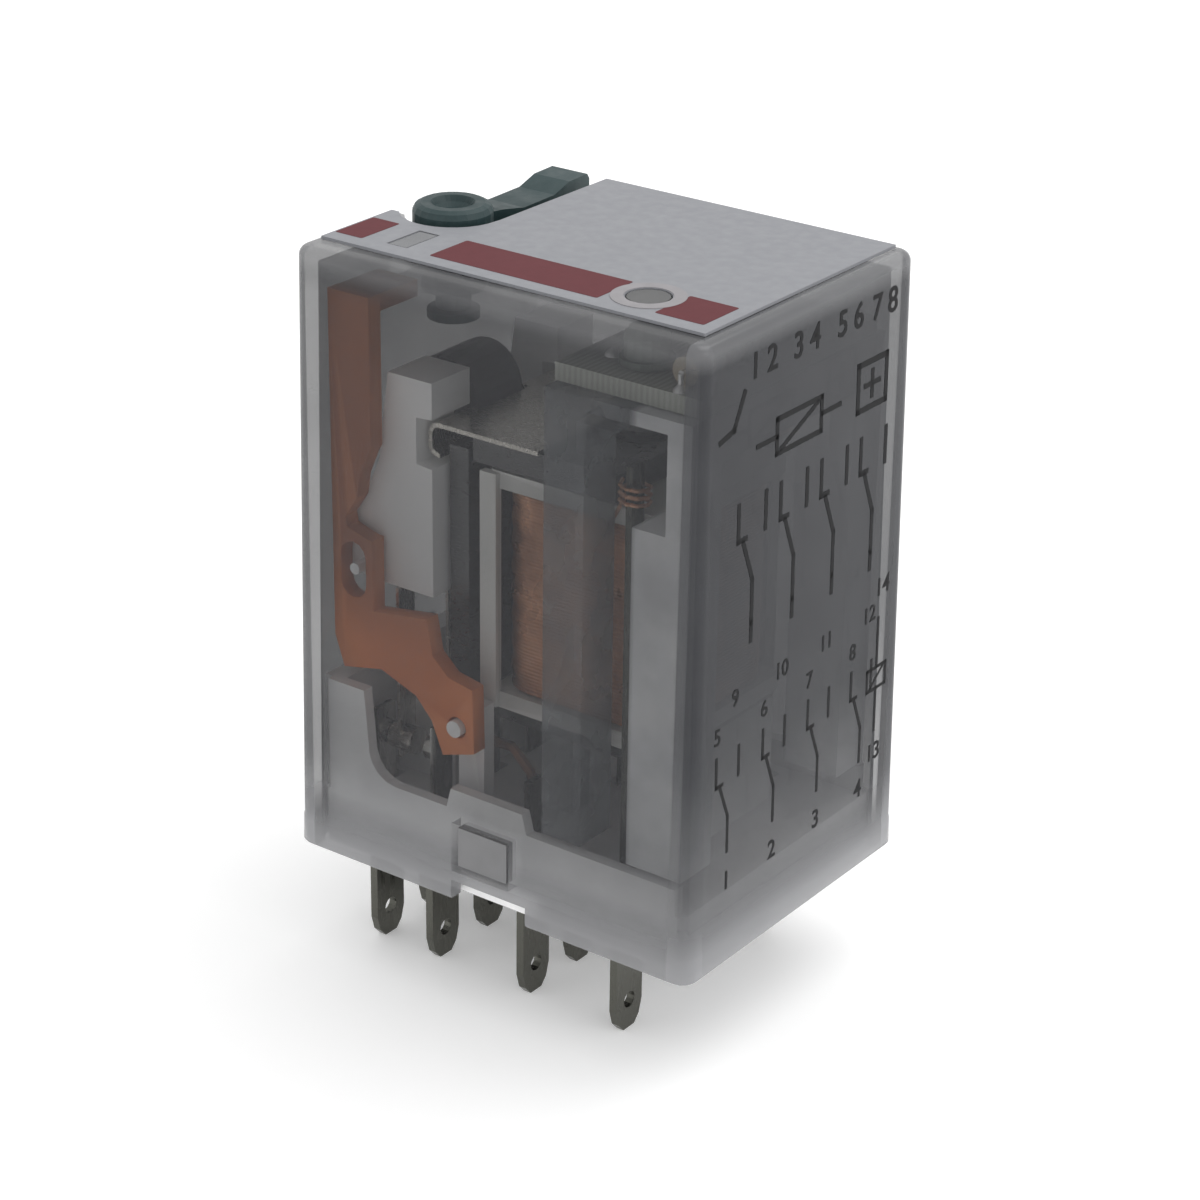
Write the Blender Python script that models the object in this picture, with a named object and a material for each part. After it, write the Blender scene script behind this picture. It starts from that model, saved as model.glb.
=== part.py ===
"""Four-pole plug-in relay with fourteen blades, a clear cover, a latching test
lever, a mechanical indicator and a light. Blender 4.5, metres, +Z up.

Sizes are in millimetres. Places are measured from the cover's front left
bottom corner (x along the long side, y to the back, z up from the seating
face), and place() turns them into metres about the middle of that face.
"""

import math

import bmesh
import bpy
from mathutils import Matrix, Vector

MM = 0.001

# Overall sizes
LENGTH = 27.5
WIDTH = 21.2
HEIGHT = 36.0
DRAFT = 0.42  # each side leans in this much at the top
WALL = 0.9
CLEAR = 0.15  # between neighbouring pieces
MID_Y = WIDTH / 2

# Cover
CORNER_R = 1.0
TOP_R = 0.6
CEILING = HEIGHT - 1.0
NOTCH_X, NOTCH_Y, NOTCH_DEPTH = 6.6, 8.3, 2.6
LEVER_X, LEVER_Y, LEVER_R = 3.9, 9.9, 2.25
NOTCH_R = LEVER_R + 0.4
LATCH_X = (11.4, 15.4)
LATCH_Z = (1.8, 4.8)

# Blades and contacts
PITCH = 4.4
POLES = [MID_Y + PITCH * (pole - 1.5) for pole in range(4)]
ROW_NC = 3.4
ROW_NO = ROW_NC + 4.15
ROW_COM = ROW_NO + 6.6
ROW_COIL = ROW_COM + 6.55
BLADE_W, BLADE_T, BLADE_L = 2.4, 0.5, 6.7
NECK_W = 1.5
SINK = 0.05  # the blades are this much thinner on each side inside the base
HOLE_R = 0.5
RIVET_R, RIVET_H = 0.75, 0.5
CONTACT_Z = 6.6
CONTACT_TOP = 8.2

# Armature: its knife edge is the pivot, and the lower end swings to the coil
PIVOT_X, PIVOT_Z = 8.65, HEIGHT - 10.5
SWING = math.radians(2.5)
ARM_T = 1.3
ARM_Y = (4.4, WIDTH - 4.4)
ARM_Z = (8.8, PIVOT_Z - 0.3)
NOMINAL_RISE = 17.3  # from the contacts' tops to the pivot, in the usual height


def level(z):
    """A height between contacts and pivot, kept in proportion if the cover is taller."""
    return CONTACT_TOP + (z - CONTACT_TOP) * (PIVOT_Z - CONTACT_TOP) / NOMINAL_RISE


# Rocker that carries the indicator flag
ROCKER_X, ROCKER_Z = 10.3, 9.6
ROCKER_Y = (WALL + 1.1, WALL + 2.1)
BLOCK_Y = (ROCKER_Y[1] + 0.3, WIDTH - 3.3)
BAR_X = (1.55, 4.4)
FLAG_Z = (HEIGHT - 3.6, HEIGHT - 2.6)
PEG_X, PEG_R = 3.0, 0.35
PEG_Z = level(17.2)
FLAG_END = LEVER_Y - NOTCH_R - WALL - CLEAR  # the flag stops short of the notch's wall
WINDOW_X, WINDOW_Y = (4.65, 6.05), (3.3, FLAG_END - 0.1)

# Coil
CORE_R, TUBE_T, WIND_HALF = 2.6, 1.0, 5.6
TUBE_R = CORE_R + TUBE_T
COIL_X = PIVOT_X + WIND_HALF + 2.05
FLANGE_Z = (10.1, PIVOT_Z - 1.2)
FLANGE_T = 1.0
FLANGE_HALF = (WIND_HALF + 0.3, POLES[-1] - MID_Y - 0.7)
WIND_DEEP = FLANGE_HALF[1] - 0.3  # half its size from front to back
SHOE_T = 1.3
YOKE_T = 1.5

# Base
FLOOR_T = 3.4
RIM_TOP = 5.0
END_TOP = level(11.0) - 0.6
FENCE_TOP = 8.0

# Light board and its clear bracket
LEAN_IN = WALL + DRAFT + CLEAR + 0.03  # clears the cover at any height
BRACKET_X = (ROW_COIL - 4.1, LENGTH - LEAN_IN - 0.1)
BRACKET_Y = (LEAN_IN, WIDTH - LEAN_IN)
BRACKET_Z = (RIM_TOP + 0.3, HEIGHT - 4.6)
BOARD_T = 1.0
LAMP_X, LAMP_Y, LAMP_R = ROW_COIL - 0.1, 5.0, 1.25

LABEL_T = 0.17
WIRE_R = 0.12
BRAID_R = 0.3


# ---------------------------------------------------------------- helpers


def clear_scene():
    for obj in list(bpy.data.objects):
        bpy.data.objects.remove(obj, do_unlink=True)


def new_collection(name):
    made = bpy.data.collections.new(name)
    bpy.context.scene.collection.children.link(made)
    return made


def place(x, y, z):
    return Vector((x - LENGTH / 2, y - WIDTH / 2, z)) * MM


def material(name, colour, roughness, metallic=0.0, alpha=1.0):
    made = bpy.data.materials.new(name)
    made.use_nodes = True
    shader = made.node_tree.nodes["Principled BSDF"]
    shader.inputs["Base Color"].default_value = (*colour, 1.0)
    shader.inputs["Roughness"].default_value = roughness
    shader.inputs["Metallic"].default_value = metallic
    shader.inputs["Alpha"].default_value = alpha
    made.diffuse_color = (*colour, alpha)
    made.roughness = roughness
    made.metallic = metallic
    return made


def box(bm, x, y, z):
    """A box between (low, high) pairs."""
    made = bmesh.ops.create_cube(bm, size=1.0)["verts"]
    pairs = (x, y, z)
    bmesh.ops.scale(bm, verts=made, vec=[high - low for low, high in pairs])
    bmesh.ops.translate(bm, verts=made, vec=[(low + high) / 2 for low, high in pairs])


def rod(bm, axis, centre, radius, span, sides=16):
    """A cylinder along an axis, its centre given in the other two."""
    turn = {
        "x": Matrix.Rotation(math.pi / 2, 3, "Y"),
        "y": Matrix.Rotation(math.pi / 2, 3, "X"),
        "z": Matrix.Identity(3),
    }[axis]
    made = bmesh.ops.create_cone(
        bm,
        cap_ends=True,
        segments=sides,
        radius1=radius,
        radius2=radius,
        depth=span[1] - span[0],
    )["verts"]
    bmesh.ops.rotate(bm, verts=made, matrix=turn)
    middle = lift(axis, centre, (span[0] + span[1]) / 2)
    bmesh.ops.translate(bm, verts=made, vec=middle)


def lift(axis, pair, along):
    """The point with the pair in the plane across the axis."""
    a, b = pair
    return Vector({"x": (along, a, b), "y": (a, along, b), "z": (a, b, along)}[axis])


def loft(bm, rings):
    """A closed body through rings of equal count."""
    rows = [[bm.verts.new(point) for point in ring] for ring in rings]
    bm.faces.new(rows[0])
    bm.faces.new(rows[-1])
    for low, high in zip(rows, rows[1:]):
        for i in range(len(low)):
            bm.faces.new((low[i - 1], low[i], high[i], high[i - 1]))


def prism(bm, axis, outline, span):
    loft(bm, [[lift(axis, pair, at) for pair in outline] for at in span])


def turned(bm, centre, profile, sides=24):
    """A body of revolution about a vertical axis, from (radius, z) pairs."""
    rings = []
    for radius, z in profile:
        ring = []
        for i in range(sides):
            angle = 2 * math.pi * i / sides
            ring.append(
                (
                    centre[0] + radius * math.cos(angle),
                    centre[1] + radius * math.sin(angle),
                    z,
                )
            )
        rings.append(ring)
    loft(bm, rings)


def rounded(x, y, radius, steps=3):
    """A rectangle with rounded corners, as (x, y) points."""
    corners = ((x[1], y[1], 0), (x[0], y[1], 90), (x[0], y[0], 180), (x[1], y[0], 270))
    points = []
    for cx, cy, start in corners:
        mid = (
            cx - math.copysign(radius, cx - sum(x) / 2),
            cy - math.copysign(radius, cy - sum(y) / 2),
        )
        for step in range(steps + 1):
            angle = math.radians(start + 90 * step / steps)
            points.append(
                (mid[0] + radius * math.cos(angle), mid[1] + radius * math.sin(angle))
            )
    return points


def arc(centre, radius, start, end, steps):
    """Points on an arc, the angles in degrees."""
    return [
        (
            centre[0] + radius * math.cos(math.radians(start + (end - start) * i / steps)),
            centre[1] + radius * math.sin(math.radians(start + (end - start) * i / steps)),
        )
        for i in range(steps + 1)
    ]


def node(name, bm, look=None, pivot=None, home=None):
    """The finished object, its origin on the pivot."""
    pivot = Vector(pivot or (LENGTH / 2, WIDTH / 2, 0.0))
    bmesh.ops.recalc_face_normals(bm, faces=bm.faces)
    bmesh.ops.translate(bm, verts=bm.verts, vec=-pivot)
    bmesh.ops.scale(bm, verts=bm.verts, vec=(MM, MM, MM))
    mesh = bpy.data.meshes.new(name)
    bm.to_mesh(mesh)
    bm.free()
    obj = bpy.data.objects.new(name, mesh)
    obj.location = place(*pivot)
    (home or RELAY).objects.link(obj)
    if look:
        mesh.materials.append(look)
    return obj


def helper(name, bm):
    """A cutter or an added shape, kept out of the render."""
    obj = node(name, bm, home=HELPERS)
    obj.hide_render = True
    obj.display_type = "WIRE"
    return obj


def boolean(obj, other, operation="DIFFERENCE"):
    modifier = obj.modifiers.new(f"{operation.title()} {other.name}", "BOOLEAN")
    modifier.operation = operation
    modifier.solver = "EXACT"
    modifier.object = other


def cut(obj, shape, *args, **kwargs):
    """Takes one primitive away from the object."""
    bm = bmesh.new()
    shape(bm, *args, **kwargs)
    boolean(obj, helper(f"{obj.name}_cut{len(obj.modifiers)}", bm))


def join(obj, shape, *args, **kwargs):
    """Adds one primitive to the object."""
    bm = bmesh.new()
    shape(bm, *args, **kwargs)
    boolean(obj, helper(f"{obj.name}_add{len(obj.modifiers)}", bm), "UNION")


def single(name, look, shape, *args, pivot=None, **kwargs):
    """An object that starts as one primitive."""
    bm = bmesh.new()
    shape(bm, *args, **kwargs)
    return node(name, bm, look, pivot)


def wire(name, look, points, radius):
    """A round wire through points, with filled ends."""
    curve = bpy.data.curves.new(name, "CURVE")
    curve.dimensions = "3D"
    curve.bevel_depth = radius * MM
    curve.bevel_resolution = 1
    curve.use_fill_caps = True
    spline = curve.splines.new("POLY")
    spline.points.add(len(points) - 1)
    for point, at in zip(spline.points, points):
        point.co = (*place(*at), 1.0)
    curve.materials.append(look)
    obj = bpy.data.objects.new(name, curve)
    RELAY.objects.link(obj)
    return obj


# ---------------------------------------------------------------- cover


def side_span(inset):
    return (inset, LENGTH - inset), (inset, WIDTH - inset)


def cover_ring(inset, radius, z):
    return [(x, y, z) for x, y in rounded(*side_span(inset), radius)]


def notch_outline(extra, left=-1.0, back=WIDTH + 1.0):
    """Plan of the lever's notch, grown by extra: open at the left and the back."""
    front = NOTCH_Y - extra
    radius = NOTCH_R + extra
    right = max(NOTCH_X, LEVER_X + NOTCH_R + 0.02) + extra
    start = 180 + math.degrees(math.asin((LEVER_Y - front) / radius))
    round_part = arc((LEVER_X, LEVER_Y), radius, start, 360, 12)
    return [(left, front), *round_part, (right, LEVER_Y + 0.3), (right, back), (left, back)]


def make_cover():
    bm = bmesh.new()
    rings = [cover_ring(0, CORNER_R, 0)]
    for step in range(4):
        angle = math.radians(90 * step / 3)
        inset = DRAFT + TOP_R * (1 - math.cos(angle))
        z = HEIGHT - TOP_R + TOP_R * math.sin(angle)
        rings.append(cover_ring(inset, CORNER_R - TOP_R * (1 - math.cos(angle)), z))
    loft(bm, rings)
    cover = node("cover", bm, CLEAR_PLASTIC)

    bm = bmesh.new()
    loft(bm, [cover_ring(WALL, 0.4, -1), cover_ring(WALL + DRAFT, 0.4, CEILING)])
    hollow = helper("cover_hollow", bm)
    floor = HEIGHT - NOTCH_DEPTH
    cut(hollow, prism, "z", notch_outline(WALL - 0.1), (floor - WALL, HEIGHT + 2))
    boolean(cover, hollow)

    cut(cover, prism, "z", notch_outline(0), (floor, HEIGHT + 1))
    cut(cover, rod, "z", (LEVER_X, LEVER_Y), 1.2, (floor - 2, floor + 1))
    for side, wall in (("front", (-0.5, WALL + 0.3)), ("back", (WIDTH - WALL - 0.3, WIDTH + 0.5))):
        cut(cover, box, LATCH_X, wall, LATCH_Z)
        cut(cover, box, (LATCH_X[0], LATCH_X[1] + 1.2), wall, (-0.5, 1.2))
    join(cover, rod, "x", (0.6 * WIDTH, 9.6), 0.35, (-0.15, 0.5), sides=10)
    return cover


# ---------------------------------------------------------------- base


def blade_rows():
    """Every blade as (name, row x, y)."""
    rows = (("nc", ROW_NC), ("no", ROW_NO), ("com", ROW_COM))
    for name, x in rows:
        for pole, y in enumerate(POLES, 1):
            yield f"{name}_terminal_{pole}", x, y
    for side, y in ((1, POLES[0]), (2, POLES[-1])):
        yield f"coil_terminal_{side}", ROW_COIL, y


def rim_outline(x, low):
    """The side rims in the x-z plane: high at the blind end and at the latches."""
    latch = (LATCH_X[0] - 1.2, LATCH_X[1] + 0.4)
    outline = [(x[0] + 0.5, low), (x[1] - 0.5, low), (x[1] - 0.5, RIM_TOP)]
    outline += [(latch[1], RIM_TOP), (latch[1] - 0.3, RIM_TOP + 1.2)]
    outline += [(latch[0] + 0.3, RIM_TOP + 1.2), (latch[0], RIM_TOP), (6.5, RIM_TOP)]
    outline += arc((6.5, RIM_TOP + 1.9), 1.9, 250, 190, 3)
    return outline + [(4.3, END_TOP), (x[0] + 0.5, END_TOP)]


def make_base():
    inner = WALL + CLEAR + DRAFT * END_TOP / HEIGHT
    x, y = side_span(inner)
    bm = bmesh.new()
    prism(bm, "z", rounded(x, y, 0.4), (0.0, FLOOR_T))
    base = node("base", bm, BASE_PLASTIC)
    low = FLOOR_T - 0.4

    bm = bmesh.new()
    prism(bm, "y", rim_outline(x, low), (y[0], y[0] + 0.7))
    prism(bm, "y", rim_outline(x, low), (y[1] - 0.7, y[1]))
    for a, b in zip(POLES, POLES[1:]):
        middle = (a + b) / 2
        box(bm, (2.9, 7.1), (middle - 0.35, middle + 0.35), (low, FENCE_TOP))
    post_y = (POLES[0] + 1.6, POLES[-1] - 1.6)
    box(bm, (ROW_COIL - 1.3, ROW_COIL + 1.6), post_y, (low, FLANGE_Z[0] - CLEAR))
    box(bm, (ROCKER_X - 0.9, ROCKER_X + 0.9), (3.3, 4.2), (low, ROCKER_Z + 1.0))
    boolean(base, helper("base_walls", bm), "UNION")
    join(base, box, (x[0], x[0] + 1.3), (y[0] + 0.4, y[1] - 0.4), (low, END_TOP))
    join(base, rod, "y", (ROCKER_X, ROCKER_Z), 0.5, (ROCKER_Y[0] - 0.3, 3.8), sides=12)

    bm = bmesh.new()
    lug_x = (LATCH_X[0] + 0.3, LATCH_X[1] - 0.3)
    lug_z = (LATCH_Z[0] + 0.3, LATCH_Z[1] - 0.3)
    for near, far in ((0.3, inner + 0.4), (WIDTH - 0.3, WIDTH - inner - 0.4)):
        box(bm, lug_x, (min(near, far), max(near, far)), lug_z)
    boolean(base, helper("base_lugs", bm), "UNION")

    bm = bmesh.new()
    for _, row, y_mid in blade_rows():
        half_t, half_w = BLADE_T / 2 + CLEAR, BLADE_W / 2 + CLEAR
        box(bm, (row - half_t, row + half_t), (y_mid - half_w, y_mid + half_w), (-1, RIM_TOP - 1))
    boolean(base, helper("base_slots", bm))
    return base


# ---------------------------------------------------------------- terminals


def blade_outline(y, top, neck):
    """A blade in the y-z plane with chamfered tip and a narrower upper part."""
    half, slim = BLADE_W / 2, neck / 2
    tip, shoulder = -BLADE_L, 1.6
    right = [(0.5, tip), (0.95, tip + 0.5), (half, tip + 1.4), (half, shoulder)]
    right += [(slim, shoulder + 0.5), (slim, top)]
    return [(y + a, z) for a, z in right] + [(y - a, z) for a, z in reversed(right)]


def make_terminal(name, row, y, top, neck=NECK_W, rivet=None):
    span = (row - BLADE_T / 2, row + BLADE_T / 2)
    made = single(name, TINNED, prism, "x", blade_outline(y, top, neck), span)
    for face, out in ((span[0], -1), (span[1], 1)):
        recess = sorted((face - out * SINK, face + out))
        cut(made, box, recess, (y - BLADE_W, y + BLADE_W), (-0.1, top + 1))
    if rivet:
        join(made, rod, "x", (y, CONTACT_Z), RIVET_R, rivet, sides=14)
    hole_z = 1.8 - BLADE_L
    cut(made, rod, "x", (y, hole_z), HOLE_R, (row - 1, row + 1), sides=12)


def contact_faces():
    """The x of each fixed contact's face."""
    return ROW_NC + BLADE_T / 2 + RIVET_H, ROW_NO - BLADE_T / 2 - RIVET_H


def make_terminals():
    nc_face, no_face = contact_faces()
    rivets = {"nc": (ROW_NC, nc_face), "no": (no_face, ROW_NO)}
    for name, row, y in blade_rows():
        kind = name.split("_")[0]
        if kind == "coil":
            make_terminal(name, row, y, FLANGE_Z[1] + 3.0, neck=1.1)
        elif kind == "com":
            make_terminal(name, row, y, CONTACT_Z + 0.2, neck=1.2)
        else:
            make_terminal(name, row, y, CONTACT_TOP, rivet=rivets[kind])


def make_braids():
    """Flexible leads from the common blades to the moving springs."""
    spring_x = moving_span()[0] + moving_thickness() / 2
    low = CONTACT_TOP - 0.6
    for pole, y in enumerate(POLES, 1):
        side = y + NECK_W / 2 + BRAID_R + 0.12
        points = [
            (ROW_COM - 0.7, side, CONTACT_Z - 1.6),
            (ROW_COM - 1.1, side, CONTACT_Z - 0.2),
            (ROW_COM - 2.4, side, low),
            (ROW_NO + 1.6, side, low - 0.1),
            (ROW_NO - 0.4, side, low + 0.7),
            (spring_x + 0.7, side, CONTACT_Z + 3.0),
            (spring_x, side, CONTACT_Z + 5.4),
        ]
        wire(f"braid_{pole}", COPPER, points, BRAID_R)


# ---------------------------------------------------------------- armature


def armature_node(name, bm, look):
    return node(name, bm, look, pivot=(PIVOT_X, MID_Y, PIVOT_Z))


def moving_span():
    """The x of the moving contact's two faces at rest."""
    nc_face, no_face = contact_faces()
    travel = (PIVOT_Z - CONTACT_Z) * math.tan(SWING)
    return nc_face + 0.08, no_face - travel - 0.1


def moving_thickness():
    low, high = moving_span()
    return high - low


def make_armature():
    bm = bmesh.new()
    box(bm, (PIVOT_X - ARM_T / 2, PIVOT_X + ARM_T / 2), ARM_Y, ARM_Z)
    armature_node("armature", bm, STEEL)


def make_spring_block():
    right = PIVOT_X - ARM_T / 2 - 0.35
    top = PIVOT_Z + 3.4
    foot = level(16.3)
    outline = [(4.6, top), (right, top), (right, PIVOT_Z + 1.3), (right - 1.1, PIVOT_Z + 1.2)]
    outline += [(right - 1.1, PIVOT_Z - 1.5), (right, PIVOT_Z - 1.6), (right, foot), (4.4, foot)]
    outline += [(2.0, level(16.5)), (1.6, level(17.2)), (1.6, level(19.2)), (2.7, level(20.9))]
    outline += [(3.9, level(23.6))]
    bm = bmesh.new()
    prism(bm, "y", outline, BLOCK_Y)
    block = armature_node("spring_block", bm, PALE_PLASTIC)
    cut(block, box, (0, 9), (6.6, WIDTH - 6.6), (PIVOT_Z - 1.6, top + 1))
    join(block, rod, "y", (PEG_X, PEG_Z), PEG_R, (ROCKER_Y[0] + 0.1, 4.0), sides=10)


def make_push_pad():
    """The dark rounded pad that the test stem pushes."""
    radius = 2.35
    mid_x = PIVOT_X - ARM_T / 2 - 0.35 - radius
    low = PIVOT_Z - 1.35
    spring = low + 2.3
    outline = arc((mid_x, spring), radius, 0, 180, 12)
    outline += [(mid_x - radius, low), (mid_x + radius, low)]
    bm = bmesh.new()
    prism(bm, "y", outline, (LEVER_Y - 2.6, LEVER_Y + 1.4))
    armature_node("push_pad", bm, DARK_PLASTIC)


def make_moving_springs():
    faces = moving_span()
    middle = sum(faces) / 2
    for pole, y in enumerate(POLES, 1):
        bm = bmesh.new()
        half = 0.7
        box(bm, (middle - 0.1, middle + 0.1), (y - half, y + half), (CONTACT_Z - 1, level(16.3) - CLEAR))
        spring = armature_node(f"moving_spring_{pole}", bm, SPRING)
        join(spring, rod, "x", (y, CONTACT_Z), RIVET_R + 0.05, faces, sides=14)


# ---------------------------------------------------------------- indicator


def make_rocker():
    left, right = BAR_X
    arm = [(right, 15.0), (8.2, 15.6), (8.6, 13.5), (9.7, 12.5), (11.4, 12.2)]
    under = [(8.5, 9.5), (7.4, 10.7), (4.9, 11.6), (2.2, 11.0), (left, 12.9)]
    outline = [(left, FLAG_Z[1]), (right, FLAG_Z[1])]
    outline += [(x, level(z)) for x, z in arm]
    outline += [(11.5, 8.3), (9.3, 7.6)] + [(x, level(z)) for x, z in under]
    bm = bmesh.new()
    prism(bm, "y", outline, ROCKER_Y)
    rocker = node(
        "indicator_rocker", bm, ORANGE, pivot=(ROCKER_X, sum(ROCKER_Y) / 2, ROCKER_Z)
    )
    flag_y = (ROCKER_Y[0] + 0.02, FLAG_END)
    join(rocker, box, (left + 0.02, right - 0.02), flag_y, (FLAG_Z[0], FLAG_Z[1] - 0.02))
    through = (ROCKER_Y[0] - 1, ROCKER_Y[1] + 1)
    cut(rocker, rod, "y", (ROCKER_X, ROCKER_Z), 0.65, through, sides=12)
    slot = arc((PEG_X, PEG_Z + 0.8), 0.9, 0, 180, 6) + arc((PEG_X, PEG_Z - 0.8), 0.9, 180, 360, 6)
    cut(rocker, prism, "y", slot, through)


# ---------------------------------------------------------------- coil


def around_coil(half_x, half_y, radius):
    x = (COIL_X - half_x, COIL_X + half_x)
    return rounded(x, (MID_Y - half_y, MID_Y + half_y), radius)


def make_coil():
    centre = (COIL_X, MID_Y)
    low, high = FLANGE_Z
    flange = around_coil(*FLANGE_HALF, 0.5)
    bobbin = single("bobbin", WHITE_PLASTIC, rod, "z", centre, TUBE_R, (low + 0.2, high - 0.2), sides=24)
    join(bobbin, prism, "z", flange, (low, low + FLANGE_T))
    join(bobbin, prism, "z", flange, (high - FLANGE_T, high))
    left, front = COIL_X - FLANGE_HALF[0], MID_Y - FLANGE_HALF[1]
    join(bobbin, box, (left - 0.3, left + 0.8), (front - 0.35, front + 0.15), (low + 0.1, high - 0.1))
    cut(bobbin, rod, "z", centre, CORE_R + CLEAR, (low - 1, high + 1), sides=24)

    span = (low + FLANGE_T + CLEAR, high - FLANGE_T - CLEAR)
    wound = around_coil(WIND_HALF, WIND_DEEP, 2.2)
    winding = single("winding", COPPER, prism, "z", wound, span)
    cut(winding, rod, "z", centre, TUBE_R + CLEAR, (low, high), sides=24)

    yoke_low = high + 0.2
    rivet_top = yoke_low + YOKE_T + 0.5
    bm = bmesh.new()
    neck = CORE_R - 1.0
    turned(bm, centre, [(CORE_R, low), (CORE_R, high), (neck, high), (neck, rivet_top - 0.2), (neck - 0.3, rivet_top)])
    node("core", bm, STEEL)

    yoke_x = (PIVOT_X + ARM_T / 2 + CLEAR, COIL_X + 2.7)
    yoke = single("yoke", STEEL, box, yoke_x, (4.6, WIDTH - 4.6), (yoke_low, yoke_low + YOKE_T))
    cut(yoke, rod, "z", centre, neck + CLEAR, (yoke_low - 1, yoke_low + 3), sides=20)

    gap = (PIVOT_Z - FLANGE_Z[0] + 1.5) * math.tan(SWING)
    shoe_x = (PIVOT_X + ARM_T / 2 + gap + 0.12, COIL_X + 2.7)
    shoe_z = (low - CLEAR - SHOE_T, low - CLEAR)
    single("pole_shoe", STEEL, box, shoe_x, (6.0, WIDTH - 6.0), shoe_z)


def make_return_spring():
    """A leaf on the yoke that curls over the armature's upper end."""
    low = FLANGE_Z[1] + 0.2 + YOKE_T + CLEAR
    top, end = low + 0.25, COIL_X - 2.0
    left = PIVOT_X - ARM_T / 2 - 1.15
    outline = [(end, low), (end, top), (left + 0.6, top), (left + 0.2, top - 0.15)]
    outline += [(left, top - 0.6), (left, low - 1.35), (left + 0.2, low - 1.6)]
    outline += [(left + 0.75, low - 1.8), (left + 0.8, low - 1.55), (left + 0.25, low - 1.3)]
    outline += [(left + 0.25, low - 0.4), (left + 0.4, low - 0.1), (left + 0.65, low)]
    spring = single("return_spring", SPRING, prism, "y", outline, (4.0, WIDTH - 4.0))
    pad_y = (LEVER_Y - 2.9, LEVER_Y + 1.7)
    cut(spring, box, (left - 1, PIVOT_X - ARM_T / 2), pad_y, (low - 3, top + 1))


def make_coil_leads():
    """Each lead wraps round its post and runs down to the winding."""
    turns, steps, radius = 3, 8, 0.82
    wrap_low = FLANGE_Z[1] + 0.7
    beside = MID_Y - WIND_DEEP - 0.55
    for side, y in ((1, POLES[0]), (2, POLES[-1])):
        inward = 1 if y < MID_Y else -1
        lead_y = beside if inward > 0 else WIDTH - beside
        points = [
            (ROW_COIL - 2.6, lead_y + 0.3 * inward, FLANGE_Z[1] - 2.0),
            (ROW_COIL - 2.1, lead_y, FLANGE_Z[1] - 1.4),
            (ROW_COIL - 1.5, y + 0.47 * inward, FLANGE_Z[1] - 0.2),
        ]
        for i in range(turns * steps + 1):
            angle = math.pi + 2 * math.pi * i / steps
            z = wrap_low + 0.42 * i / steps
            points.append((ROW_COIL + radius * math.cos(angle), y - inward * radius * math.sin(angle), z))
        wire(f"coil_lead_{side}", COPPER, points, WIRE_R)


# ---------------------------------------------------------------- light board


def make_board():
    low, high = BRACKET_Z
    bracket = single("board_bracket", FROSTED, box, BRACKET_X, BRACKET_Y, BRACKET_Z)
    left = BRACKET_X[0]
    legs_top = high - 2.8
    cut(bracket, box, (left - 1, LENGTH), (4.3, WIDTH - 4.3), (low - 1, legs_top))
    cut(bracket, box, (left + 2.6, left + 5.7), (0, WIDTH), (low - 2, legs_top))
    cut(bracket, box, (left + 2.7, left + 7.8), (0, WIDTH), (high - 6.4, high - 0.8))
    cut(bracket, box, (left + 1.6, left + 7.7), (5.4, WIDTH - 3.6), (legs_top - 1, high + 1))

    board_z = (high + 0.1, high + 0.1 + BOARD_T)
    single("light_board", BOARD, box, BRACKET_X, (2.4, WIDTH - 2.4), board_z)

    foot = board_z[1] + 0.1
    top = CEILING - 0.15
    profile = [(LAMP_R + 0.25, foot), (LAMP_R + 0.25, foot + 0.4), (LAMP_R, foot + 0.4)]
    profile += [(LAMP_R, top - 0.7), (LAMP_R * 0.8, top - 0.25), (LAMP_R * 0.4, top)]
    bm = bmesh.new()
    turned(bm, (LAMP_X, LAMP_Y), profile, sides=16)
    node("led", bm, LENS)

    resistor_z = foot + 0.85
    single("resistor", CERAMIC, rod, "y", (LAMP_X + 3.6, resistor_z), 0.8, (3.2, 7.6), sides=14)
    single("diode", DARK_PLASTIC, rod, "y", (LAMP_X + 3.6, resistor_z), 0.8, (10.0, 13.4), sides=14)


# ---------------------------------------------------------------- top


def make_label():
    low, high = HEIGHT + 0.03, HEIGHT + 0.03 + LABEL_T
    inset = DRAFT + TOP_R + 0.1
    edge = notch_outline(0.3, left=inset, back=WIDTH - inset)
    inner = edge[:-1]  # drop the open corner: the plate lies on the other side
    outline = inner + [(LENGTH - inset - 0.3, WIDTH - inset), (LENGTH - inset - 0.3, 2.1), (inset, 2.1)]
    label = single("label_plate", LABEL, prism, "z", outline, (low, high))
    through = (low - 1, high + 1)
    cut(label, rod, "z", (LAMP_X, LAMP_Y), LAMP_R, through, sides=24)
    cut(label, box, WINDOW_X, WINDOW_Y, through)

    pane = (low, high - 0.03)
    single("led_window", LENS, rod, "z", (LAMP_X, LAMP_Y), LAMP_R - 0.1, pane, sides=24)
    window_x = (WINDOW_X[0] + 0.1, WINDOW_X[1] - 0.1)
    window_y = (WINDOW_Y[0] + 0.1, WINDOW_Y[1] - 0.1)
    single("indicator_window", LENS, box, window_x, window_y, pane)


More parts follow.
